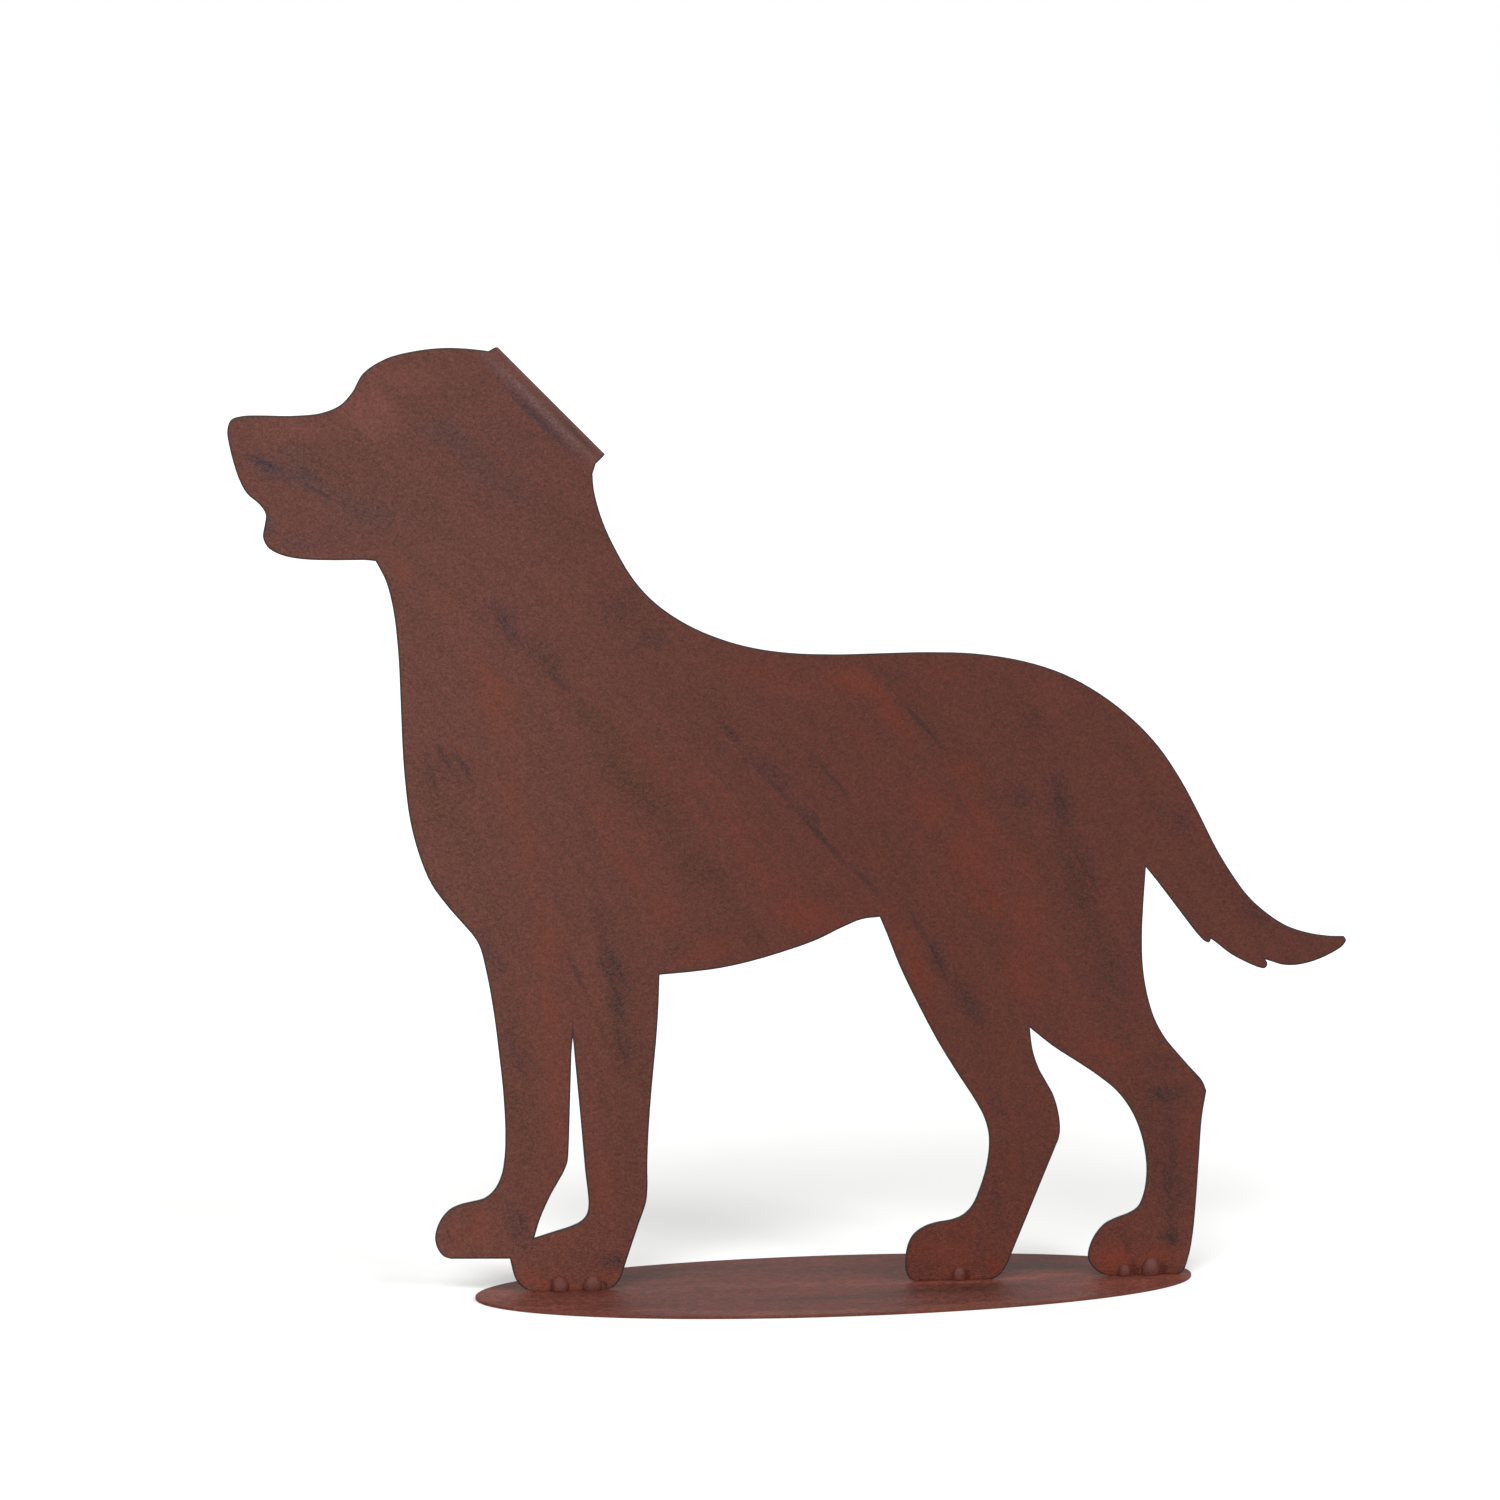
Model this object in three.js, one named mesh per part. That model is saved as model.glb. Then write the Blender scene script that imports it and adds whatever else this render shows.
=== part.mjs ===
// A standing dog cut from one thin steel sheet, with one ear folded back,
// welded upright on an oval steel plate. Millimetres, z up.
// x runs from the nose to the tail, y points away from the side that has the welds.

import * as THREE from 'three';

// Driving dimensions
const dogLength = 550.6; // nose to tail tip
const sheetThickness = 1.5;
const earBendInnerRadius = 9.5;
const earBendAngle = 150; // degrees
const plateThickness = 1.5;
const plateWidth = 120;
const plateBeyondToes = 29.5; // from the front paw's sole to the plate's front end
const plateBeyondHeel = 7; // from the rearmost sole to the plate's rear end
const plateTurn = 2.2; // degrees, the plate lies a little askew under the dog
const plateOffset = 1.35; // and a little to the welded side
const chordError = 0.04; // how far a facet may leave the true curve
const plateSegments = 144;
const weldSegments = 8;
const rustMetalness = 0.25; // rust is matt and only a little metallic

// The dog's outline is drawn on a pattern with the soles at height 0 and is scaled to dogLength.
const patternNose = -294.9;
const patternTail = 255.7;
const patternScale = dogLength / (patternTail - patternNose);

// Stretches of the outline between its true corners, each a smooth curve through its knots [x, z].
// They run from the ear's front end round by the nose, the paws and the tail to the ear's back end.
const head = [
  [-179.9, 463.8], [-190, 464.2], [-204, 462.9], [-219, 459.1], [-230, 452], [-235.3, 443],
  [-241, 437], [-250, 433.3], [-264, 432], [-278, 432.3], [-288, 432], [-293, 430.3],
  [-294.9, 425.5], [-294, 417.5], [-290, 402.8], [-286, 395], [-280, 389.6], [-277.2, 385],
  [-277.9, 378.8], [-278.6, 374], [-276.3, 369], [-270, 365.3], [-260, 363.2], [-244, 362.5],
  [-230, 362.5], [-224.8, 361.9],
];
const throatToRaisedPaw = [
  [-224.8, 361.9], [-220, 352.3], [-216.6, 338.5], [-214.4, 318], [-213.5, 295], [-212.9, 275],
  [-211.9, 257], [-209.5, 236], [-205.5, 219.5], [-199.5, 204.3], [-190, 191], [-180, 179.4],
  [-176.3, 173.3], [-172.8, 159.5], [-169.4, 139.5], [-166.9, 118], [-165.2, 101.5],
  [-164.2, 81], [-164.7, 67.5], [-166.5, 58], [-170, 51.4], [-174.5, 47.6], [-180.5, 46],
  [-186.5, 44.7], [-192, 42.1], [-196.8, 36.2], [-199.1, 28.5], [-198, 23], [-195, 18.9],
  [-191.5, 17.5],
];
const raisedSole = [[-191.5, 17.5], [-162.4, 16.8]];
const frontPawToes = [[-162.4, 16.8], [-160, 7.3], [-157.6, 3.6], [-153.8, 0.8], [-150.5, 0]];
const frontSole = [[-150.5, 0], [-114.5, 0]];
const frontLegBack = [
  [-114.5, 0], [-111, 1.4], [-107.8, 5.6], [-104.8, 14.3], [-98.6, 33], [-95, 43.5], [-94.2, 52],
  [-94.3, 62], [-93.6, 80], [-92, 101], [-89.8, 124], [-88.5, 143], [-88, 157.2],
];
const belly = [
  [-88, 157.2], [-74, 158.2], [-58, 160], [-44, 162.8], [-28, 167.2], [-11, 172.9], [2, 179],
  [12, 183], [21, 184],
];
const hindLegFront = [
  [21, 184], [24.5, 175.7], [31, 159.3], [40, 140.5], [50, 121.5], [60, 105], [69.5, 90.3],
  [74, 81.5], [76.2, 72], [75.3, 59.5], [72, 47.3], [68, 38], [63.5, 33.3], [58, 31], [50, 29.7],
  [44, 27.8], [38.5, 23.9], [35.5, 18], [34.4, 9.5], [35, 4.4], [37, 1.2], [40, 0],
];
const hindSole = [[40, 0], [78, 0]];
const hindLegBack = [
  [78, 0], [82, 2], [85.8, 7.7], [88.2, 13.6], [98, 38], [111.2, 70.5],
];
const hindHock = [
  [111.2, 70.5], [111.9, 75], [111, 84], [107.8, 94.3], [101.5, 105.3], [97.9, 115.5],
  [96.3, 127],
];
const rearLegFront = [
  [96.3, 127], [108, 117.5], [121, 108.9], [131, 102], [141, 93.5], [149, 82], [154.1, 68],
  [156, 53.5], [154.6, 41.5], [151.6, 34.9], [146.5, 31.7], [140, 29.4], [134.5, 26.4],
  [129.3, 19.8], [126.8, 12.5], [127, 8.3], [130, 3.8], [134.5, 1], [139, 0],
];
const rearSole = [[139, 0], [173, 0]];
const rearLegBack = [
  [173, 0], [175.2, 1.7], [178, 9.8], [179.8, 20.5], [181.5, 42], [182.6, 62], [183.7, 80],
  [185.8, 93.2],
];
const rearHock = [
  [185.8, 93.2], [183.6, 98.5], [177.5, 105.3], [170.5, 113.3], [164.5, 120.7], [159, 130.7],
  [155.1, 143.5], [152.9, 157], [152.3, 172], [152.9, 190], [153.9, 206.6],
];
const tailUnderside = [
  [153.9, 206.6], [160, 199.1], [170, 186], [180.5, 172.4], [184, 168.9], [186, 168.1],
];
const tailFirstTuft = [[186, 168.1], [186.8, 169], [187.1, 170]];
const tailMiddle = [
  [187.1, 170], [190, 167.9], [197, 162.4], [206, 157.5], [212.5, 154.9], [214.7, 154.8], [215.9, 156.3],
];
const tailSecondTuft = [[215.9, 156.3], [215.7, 157.8], [214.8, 159.1]];
const tailEnd = [
  [214.8, 159.1], [218.5, 157.9], [223.5, 156.3], [231, 156.1], [240, 158.1], [249, 162],
  [254, 165.3], [255.7, 168.2], [254.6, 170.1],
];
const tailAndBack = [
  [254.6, 170.1], [246, 170.5], [236, 172.3], [226, 175.7], [216, 182], [206, 190.9],
  [197.5, 202.2], [189, 216], [180.5, 232.7], [171, 250], [160, 266.2], [147, 280], [130, 293.3],
  [112, 303.2], [92, 309.8], [68, 313.8], [44, 314.8], [20, 314.5], [-2, 314.2], [-24, 315.2],
  [-42, 317.9], [-58, 322.5], [-74, 329.6], [-89, 339.8], [-99.5, 351], [-108, 364.9],
  [-115, 380], [-119.2, 395], [-119.9, 403.4],
];
const frontLegGap = [
  [[-150.3, 26.9], [-147.4, 36.5], [-141.5, 49.5], [-136, 59], [-133.8, 64.5], [-133.2, 70],
    [-132.6, 86], [-131.9, 106], [-131.5, 119], [-130.8, 127]],
  [[-130.8, 127], [-129.5, 112.5], [-127.3, 88], [-125, 60], [-123.4, 43], [-124.3, 38.2],
    [-127, 34.9], [-131.5, 32.6], [-140, 30], [-150.3, 26.9]],
];

// The ear's outline on the unfolded sheet [u, v]: u runs along the bend from the ear's front end,
// v is the distance from where the bend starts. Its first and last knots are the corners
// where the skull's outline ends and the ear's own cut begins.
const earFlap = [
  [8.1, 6.4], [10.5, 16.1], [14, 29], [21, 50], [32, 71], [45, 84], [58, 88], [69, 81.5],
  [77.5, 64], [83, 43], [84.6, 27], [83.9, 16.1], [83, 4.3],
];

// Weld beads on the welded side: the sole they sit on, their place as a share of that sole,
// and their half width, reach out from the sheet and height.
const welds = [
  { name: 'weld_front_paw_toe', sole: frontSole, share: 0.35, halfWidth: 4.7, reach: 5.6, height: 8 },
  { name: 'weld_front_paw_heel', sole: frontSole, share: 0.8, halfWidth: 4.9, reach: 4.2, height: 7.6 },
  { name: 'weld_hind_paw', sole: hindSole, share: 0.56, halfWidth: 3.6, reach: 3.6, height: 7.2 },
  { name: 'weld_rear_paw_toe', sole: rearSole, share: 0.18, halfWidth: 3.4, reach: 3.4, height: 6.4 },
  { name: 'weld_rear_paw_heel', sole: rearSole, share: 0.57, halfWidth: 4.9, reach: 4.6, height: 9.4 },
];

function patternPoint([a, b]) {
  return new THREE.Vector2(a, b).multiplyScalar(patternScale);
}

// Points along the smooth curve through the knots, close enough together for chordError.
// The last knot is left to the next stretch.
function trace(knots) {
  const scaled = knots.map((knot) => new THREE.Vector3(...patternPoint(knot), 0));
  if (scaled.length === 2) return [scaled[0]];
  const curve = new THREE.CatmullRomCurve3(scaled, false, 'centripetal');
  const points = [];
  const split = (start, end, first, last) => {
    const middle = (start + end) / 2;
    const point = curve.getPoint(middle);
    const chord = new THREE.Line3(first, last);
    const nearest = chord.closestPointToPoint(point, true, new THREE.Vector3());
    if (nearest.distanceTo(point) < chordError) {
      points.push(first);
      return;
    }
    split(start, middle, first, point);
    split(middle, end, point, last);
  };
  const spans = knots.length - 1;
  for (let i = 0; i < spans; i++) split(i / spans, (i + 1) / spans, scaled[i], scaled[i + 1]);
  return points;
}

// The ear's bend: a straight line across the back of the skull, where the sheet leaves its plane.
const bendFront = patternPoint(head[0]);
const bendBack = patternPoint(tailAndBack.at(-1));
const bendLength = bendFront.distanceTo(bendBack);
const alongBend = bendBack.clone().sub(bendFront).normalize();
const acrossBend = new THREE.Vector2(-alongBend.y, alongBend.x);
const bendRadius = earBendInnerRadius + sheetThickness / 2;
const bendTurn = THREE.MathUtils.degToRad(earBendAngle);
const bendDepth = bendRadius * bendTurn;

// A point of the flat pattern on the sheet, side -1 the welded face and +1 the face towards the ear.
function flatPoint({ x, y }, side) {
  return new THREE.Vector3(x, (side * sheetThickness) / 2, y);
}

// A point of the unfolded ear on the sheet, carried round the bend and out along the flap.
function earPoint({ x: u, y: v }, side) {
  const angle = Math.min(v / bendRadius, bendTurn);
  const straight = Math.max(v - bendDepth, 0);
  const radius = bendRadius - (side * sheetThickness) / 2;
  const out = radius * Math.sin(angle) + straight * Math.cos(angle);
  const behind = bendRadius - radius * Math.cos(angle) + straight * Math.sin(angle);
  const foot = bendFront.clone().addScaledVector(alongBend, u).addScaledVector(acrossBend, out);
  return new THREE.Vector3(foot.x, behind, foot.y);
}

// Distances from the bend's start at which a line crosses the sheet: even steps round the bend,
// and the ear's two corners in place of any step that lies close to them.
function bendLevels(corners) {
  const steps = Math.ceil(bendTurn / (2 * Math.acos(1 - chordError / bendRadius)));
  const step = bendDepth / steps;
  const closest = step / 3;
  return Array.from({ length: steps }, (_, i) => step * (i + 1))
    .filter((v) => corners.every((corner) => Math.abs(corner - v) > closest))
    .concat(corners)
    .sort((a, b) => a - b);
}

// Where the ear's outline crosses a line at the distance v from the bend's start.
function earEdgeAt(points, v) {
  for (let i = 1; i < points.length; i++) {
    const [a, b] = [points[i - 1], points[i]];
    if ((a.y - v) * (b.y - v) <= 0 && a.y !== b.y) {
      return new THREE.Vector2(THREE.MathUtils.lerp(a.x, b.x, (v - a.y) / (b.y - a.y)), v);
    }
  }
  throw new Error('the ear is too short for its bend');
}

function buildDogSheet() {
  const stretches = [
    head, throatToRaisedPaw, raisedSole, frontPawToes, frontSole, frontLegBack, belly,
    hindLegFront, hindSole, hindLegBack, hindHock, rearLegFront, rearSole, rearLegBack, rearHock,
    tailUnderside, tailFirstTuft, tailMiddle, tailSecondTuft, tailEnd, tailAndBack,
  ];
  const flat = (point) => new THREE.Vector2(point.x, point.y);
  const body = [...stretches.flatMap(trace).map(flat), bendBack];
  const hole = frontLegGap.flatMap(trace).map(flat);

  // The ear: lines across the bend, then the flap as one flat piece beyond it.
  const rim = [...trace(earFlap).map(flat), patternPoint(earFlap.at(-1))];
  const tip = rim.reduce((best, point, i) => (point.y > rim[best].y ? i : best), 0);
  const frontEdge = [new THREE.Vector2(0, 0), ...rim.slice(0, tip + 1)];
  const backEdge = [new THREE.Vector2(bendLength, 0), ...rim.slice(tip).reverse()];
  const levels = bendLevels([rim[0].y, rim.at(-1).y]);
  const frontStations = levels.map((v) => earEdgeAt(frontEdge, v));
  const backStations = levels.map((v) => earEdgeAt(backEdge, v));
  const flapRim = rim.filter((point) => point.y > bendDepth + chordError).reverse();
  const ear = [...backStations, ...flapRim, ...frontStations.reverse()];

  const places = [
    ...[...body, ...hole].map((point) => [point, flatPoint]),
    ...ear.map((point) => [point, earPoint]),
  ];
  const range = (start, count) => Array.from({ length: count }, (_, i) => start + i);
  const bodyRing = range(0, body.length);
  const holeRing = range(body.length, hole.length);
  const earRing = range(body.length + hole.length, ear.length);
  const steps = levels.length;

  const faces = THREE.ShapeUtils.triangulateShape(body, [hole]);
  let [front, back] = [0, body.length - 1];
  for (let i = 0; i < steps; i++) {
    const [nextFront, nextBack] = [earRing.at(-1 - i), earRing[i]];
    faces.push([front, back, nextBack], [front, nextBack, nextFront]);
    [front, back] = [nextFront, nextBack];
  }
  const flapRing = earRing.slice(steps - 1, earRing.length - steps + 1);
  const flapFaces = THREE.ShapeUtils.triangulateShape(flapRing.map((i) => places[i][0]), []);
  faces.push(...flapFaces.map((face) => face.map((i) => flapRing[i])));

  return sheetSolid(places, faces, [[...bodyRing, ...earRing], holeRing]);
}

// A sheet with both its faces and the cut edge round each ring, as one closed mesh.
function sheetSolid(places, faces, rings) {
  const count = places.length;
  const vertices = [-1, 1].flatMap((side) => places.map(([point, place]) => place(point, side)));
  const triangles = [];
  for (const [a, b, c] of faces) {
    triangles.push(a, b, c);
    triangles.push(c + count, b + count, a + count);
  }
  for (const ring of rings) {
    ring.forEach((a, i) => {
      const b = ring[(i + 1) % ring.length];
      triangles.push(b, a, a + count);
      triangles.push(b, a + count, b + count);
    });
  }
  const geometry = new THREE.BufferGeometry();
  geometry.setFromPoints(vertices);
  geometry.setIndex(triangles);
  return geometry;
}

function buildPlate(halfLength) {
  const oval = new THREE.Shape();
  oval.absellipse(0, 0, halfLength, plateWidth / 2, 0, 2 * Math.PI);
  return new THREE.ExtrudeGeometry(oval, {
    depth: plateThickness,
    bevelEnabled: false,
    curveSegments: plateSegments,
  });
}

// A weld bead in the corner of sheet and plate: a quarter of an ellipsoid, flat behind and below.
function buildWeld({ halfWidth, reach, height }) {
  const points = [];
  const triangles = [];
  const columns = weldSegments + 1;
  for (let i = 1; i < 2 * weldSegments; i++) {
    const along = (Math.PI * i) / (2 * weldSegments);
    for (let j = 0; j < columns; j++) {
      const up = (Math.PI / 2) * (j / weldSegments);
      const y = j === weldSegments ? 0 : -reach * Math.sin(along) * Math.cos(up);
      const z = j === 0 ? 0 : height * Math.sin(along) * Math.sin(up);
      points.push(new THREE.Vector3(-halfWidth * Math.cos(along), y, z));
    }
  }
  const rows = 2 * weldSegments - 1;
  const last = rows - 1;
  const left = points.push(new THREE.Vector3(-halfWidth, 0, 0)) - 1;
  const right = points.push(new THREE.Vector3(halfWidth, 0, 0)) - 1;
  const middle = points.length;
  for (let i = 0; i < rows; i++) points.push(new THREE.Vector3(points[i * columns].x, 0, 0));
  const at = (i, j) => i * columns + j;
  const quad = (a, b, c, d) => triangles.push(a, b, c, a, c, d);
  for (let i = 0; i < last; i++) {
    for (let j = 0; j < weldSegments; j++) quad(at(i, j), at(i + 1, j), at(i + 1, j + 1), at(i, j + 1));
    quad(middle + i, middle + i + 1, at(i + 1, 0), at(i, 0));
    quad(at(i, weldSegments), at(i + 1, weldSegments), middle + i + 1, middle + i);
  }
  for (let j = 0; j < weldSegments; j++) {
    triangles.push(left, at(0, j), at(0, j + 1));
    triangles.push(right, at(last, j + 1), at(last, j));
  }
  triangles.push(left, middle, at(0, 0), left, at(0, weldSegments), middle);
  triangles.push(right, at(last, 0), middle + last, right, middle + last, at(last, weldSegments));
  const geometry = new THREE.BufferGeometry();
  geometry.setFromPoints(points);
  geometry.setIndex(triangles);
  return geometry;
}

function steel(color, roughness) {
  return new THREE.MeshStandardMaterial({ color, roughness, metalness: rustMetalness });
}

function named(name, geometry, material) {
  const mesh = new THREE.Mesh(geometry, material);
  mesh.name = name;
  return mesh;
}

const figure = new THREE.Group();

const dog = named('dog_sheet', buildDogSheet(), steel(0x6b352a, 0.62));
dog.position.z = plateThickness;
figure.add(dog);

const plateFront = frontSole[0][0] * patternScale - plateBeyondToes;
const plateRear = rearSole[1][0] * patternScale + plateBeyondHeel;
const plate = named('base_plate', buildPlate((plateRear - plateFront) / 2), steel(0x78493f, 0.66));
plate.position.set((plateFront + plateRear) / 2, -plateOffset, 0);
plate.rotation.z = THREE.MathUtils.degToRad(plateTurn);
figure.add(plate);

for (const weld of welds) {
  const bead = named(weld.name, buildWeld(weld), steel(0x7a4032, 0.6));
  const [[start], [end]] = weld.sole;
  const x = THREE.MathUtils.lerp(start, end, weld.share) * patternScale;
  bead.position.set(x, -sheetThickness / 2, plateThickness);
  figure.add(bead);
}

// The origin is under the middle of the whole figure.
const bounds = new THREE.Box3().setFromObject(figure);
const centre = bounds.getCenter(new THREE.Vector3());
figure.position.set(-centre.x, -centre.y, 0);
figure.updateMatrixWorld(true);

export default figure;
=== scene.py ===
# A dog cut from thin steel sheet, an ear folded back, welded on an oval plate
# and left with a brown rust patina. Metres, z up, nose towards -x.

import math

import bmesh
import bpy
from mathutils import Matrix, Vector, noise


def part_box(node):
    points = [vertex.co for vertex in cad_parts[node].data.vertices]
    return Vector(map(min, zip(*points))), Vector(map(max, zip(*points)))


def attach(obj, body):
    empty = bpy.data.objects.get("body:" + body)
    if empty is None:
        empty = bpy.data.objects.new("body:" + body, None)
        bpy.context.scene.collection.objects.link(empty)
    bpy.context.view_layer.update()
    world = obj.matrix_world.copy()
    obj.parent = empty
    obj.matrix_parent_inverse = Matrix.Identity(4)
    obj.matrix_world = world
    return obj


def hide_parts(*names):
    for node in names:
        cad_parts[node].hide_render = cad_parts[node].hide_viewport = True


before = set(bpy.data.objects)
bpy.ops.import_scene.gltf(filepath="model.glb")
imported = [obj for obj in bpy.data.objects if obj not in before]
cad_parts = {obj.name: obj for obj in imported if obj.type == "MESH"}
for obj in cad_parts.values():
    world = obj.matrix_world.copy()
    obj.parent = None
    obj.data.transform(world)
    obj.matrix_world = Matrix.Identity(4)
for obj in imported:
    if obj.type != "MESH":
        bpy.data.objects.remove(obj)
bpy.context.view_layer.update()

mm = 0.001
endless = 1e6  # mm, the size of a patch along the axis it is not drawn on

# Detail and roughness of the noises
noiseKinds = {
    "rich": (4.0, 0.6),
    "medium": (3.0, 0.6),
    "smooth": (2.0, 0.5),
    "ridged": (1.0, 0.5),
    "cloudy": (2.0, 0.55),
}


# A node's output that can be calculated with: each operator adds a Math node.
class Wire:
    def __init__(self, nodes, socket):
        self.nodes = nodes
        self.socket = socket

    def math(self, operation, *values):
        inputs = dict(enumerate(values))
        return self.nodes.add("ShaderNodeMath", {"operation": operation}, inputs)

    def __add__(self, other):
        return self.math("ADD", self, other)

    def __radd__(self, other):
        return self.math("ADD", other, self)

    def __sub__(self, other):
        return self.math("SUBTRACT", self, other)

    def __rsub__(self, other):
        return self.math("SUBTRACT", other, self)

    def __mul__(self, other):
        return self.math("MULTIPLY", self, other)

    def __rmul__(self, other):
        return self.math("MULTIPLY", other, self)

    def __truediv__(self, other):
        return self.math("DIVIDE", self, other)

    def __rtruediv__(self, other):
        return self.math("DIVIDE", other, self)

    def __pow__(self, other):
        return self.math("POWER", self, other)

    def __gt__(self, other):
        return self.math("GREATER_THAN", self, other)

    def __abs__(self):
        return self.math("ABSOLUTE", self)

    def orMore(self, other):
        return self.math("MAXIMUM", self, other)

    def ramp(self, low, high, fromValue=0.0, toValue=1.0):
        settings = {"interpolation_type": "SMOOTHSTEP"}
        inputs = {"Value": self, "From Min": low, "From Max": high, "To Min": fromValue, "To Max": toValue}
        return self.nodes.add("ShaderNodeMapRange", settings, inputs)


# Adds nodes to one tree. Settings go in first, then the sockets' values and links.
class Nodes:
    def __init__(self, tree):
        self.tree = tree
        tree.nodes.clear()

    def add(self, kind, settings=None, inputs=None, out=0):
        node = self.tree.nodes.new(kind)
        for name, value in (settings or {}).items():
            setattr(node, name, value)
        for key, value in (inputs or {}).items():
            if isinstance(value, Wire):
                self.tree.links.new(value.socket, node.inputs[key])
            else:
                node.inputs[key].default_value = value
        return Wire(self, node.outputs[out]) if node.outputs else node

    def vector(self, operation, *values, out=0):
        return self.add("ShaderNodeVectorMath", {"operation": operation}, dict(enumerate(values)), out)

    def scaled(self, vector, factor):
        return self.add("ShaderNodeVectorMath", {"operation": "SCALE"}, {0: vector, "Scale": factor})

    def combine(self, x, y, z):
        return self.add("ShaderNodeCombineXYZ", None, {0: x, 1: y, 2: z})

    def axis(self, vector, index):
        return self.add("ShaderNodeSeparateXYZ", None, {0: vector}, index)

    # Fractal noise in 0..1, grain is the size of its largest blotches in the vector's units
    def noise(self, vector, grain, detail, rough, out=0):
        inputs = {"Vector": vector, "Scale": 1 / grain, "Detail": detail, "Roughness": rough}
        return self.add("ShaderNodeTexNoise", {"noise_dimensions": "3D"}, inputs, out)

    # The object's own coordinates, in metres
    def objectPlace(self):
        return self.add("ShaderNodeTexCoord", out=3)

    # A number painted on the mesh's vertices
    def painted(self, name):
        return self.add("ShaderNodeAttribute", {"attribute_name": name}, out=2)

    def mix(self, first, second, factor, blend="MIX"):
        settings = {"data_type": "RGBA", "blend_type": blend}
        return self.add("ShaderNodeMix", settings, {0: factor, 6: first, 7: second}, 2)


# A colour as it looks on screen, 0 to 255, made linear for the shader by the sRGB curve
def rgb(*levels):
    shares = [level / 255 for level in levels]
    linear = [share / 12.92 if share <= 0.04045 else ((share + 0.055) / 1.055) ** 2.4 for share in shares]
    return (*linear, 1.0)


# The patina that all the steel shares. A colour is written as it looks in the light, and each
# tint as what it makes of the middle brown.

patina = {
    "upright": (2.29, 0.0195),  # how much the lights brighten the paint, and the white its gloss adds
    "level": (1.80, 0.044),
    "pale": (111, 73, 65),  # the brown near the nose
    "deep": (101, 61, 53),  # and from the hips back
    "brown": (101, 63, 55),
    "orange": (112, 63, 52),
    "olive": (92, 61, 51),
    "grey": (85, 61, 60),
    "dark": (83, 58, 56),
    # Greyer, slightly darker colour along the bend: painted sheen and shade under the highlight there
    "worn": (95, 64, 61),
    "bloom": (114, 68, 61),
    # The dark of the grain's hollows, also used for the painted shade beside the beads
    "hollow": (78, 50, 44),
    "edge": (66, 58, 59),
    "grain": 1.25,  # mm
    "grainDepth": 0.18,
    "grainDetail": 2.0,
    "grainRough": 0.9,
    "grainShade": 1.5,
    "ridgeSize": 1.2,  # of the grain
    "hollowFrom": (0.82, 0.98),
    "hollowSink": 0.4,
    "specular": 0.14,
    "darkest": 0.001,
    "patchFade": (1.3, 0.1),  # from where a patch ends to where it is full, in its half sizes
}


def newMaterial(name):
    material = bpy.data.materials.new(name)
    material.use_nodes = True
    return material, Nodes(material.node_tree)


def finishSurface(nodes, color, roughness, height, depth):
    bump = nodes.add("ShaderNodeBump", None, {"Height": height, "Distance": depth * mm})
    shader = nodes.add("ShaderNodeBsdfPrincipled", None, {
        "Base Color": color,
        "Roughness": roughness,
        "Normal": bump,
        "Metallic": 0.0,
        "Specular IOR Level": patina["specular"],
    })
    nodes.add("ShaderNodeOutputMaterial", None, {"Surface": shader})


# The paint that looks like a given colour once it is lit, on an upright or a level surface
def paint(seen, surface="upright"):
    light, veil = patina[surface]
    return (*[max(level - veil, patina["darkest"]) / light for level in rgb(*seen)[:3]], 1.0)


# What a tint multiplies the paint by
def tint(name):
    pairs = zip(paint(patina[name]), paint(patina["brown"]))
    return tuple(level / brown for level, brown in pairs)


# Soft patches, each (x, z, half length, half width, lean in degrees down to the right, strength)
def patches(nodes, place, rows, flat="y"):
    total = 0.0
    for x, z, halfLength, halfWidth, lean, strength in rows:
        if flat == "y":
            where, turn = (x, 0, z), (0, math.radians(lean), 0)
            size = (halfLength, endless, halfWidth)
        else:
            where, turn = (x, z, 0), (0, 0, -math.radians(lean))
            size = (halfLength, halfWidth, endless)
        inputs = {"Vector": place, "Location": where, "Rotation": turn, "Scale": size}
        local = nodes.add("ShaderNodeMapping", {"vector_type": "TEXTURE"}, inputs)
        reach = nodes.vector("LENGTH", local, out=1)
        patch = reach.ramp(*patina["patchFade"], 0.0, strength)
        total = patch if total == 0.0 else total.orMore(patch)
    return total


# Moves places about by noise, so that what is drawn on them gets ragged
def ragged(nodes, place, grain, reach):
    cloud = nodes.noise(place, grain, *noiseKinds["rich"], out=1)
    middle = (0.5, 0.5, 0.5)
    return nodes.vector("ADD", place, nodes.scaled(nodes.vector("SUBTRACT", cloud, middle), reach))


# Fine leathery grain: its height, its shade round 1, and the dark hollows between its ridges
def leather(nodes, place, grain):
    bumps = nodes.noise(place, grain, patina["grainDetail"], patina["grainRough"])
    ridge = 1 - abs(2 * nodes.noise(place, grain * patina["ridgeSize"], *noiseKinds["ridged"]) - 1)
    hollows = ridge.ramp(*patina["hollowFrom"])
    height = bumps - patina["hollowSink"] * hollows
    shade = 1 + patina["grainShade"] * (bumps - 0.5)
    return height, shade, hollows


# Multiplies a colour by a number
def shaded(nodes, color, shade):
    return nodes.mix(color, nodes.combine(shade, shade, shade), 1.0, "MULTIPLY")


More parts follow.
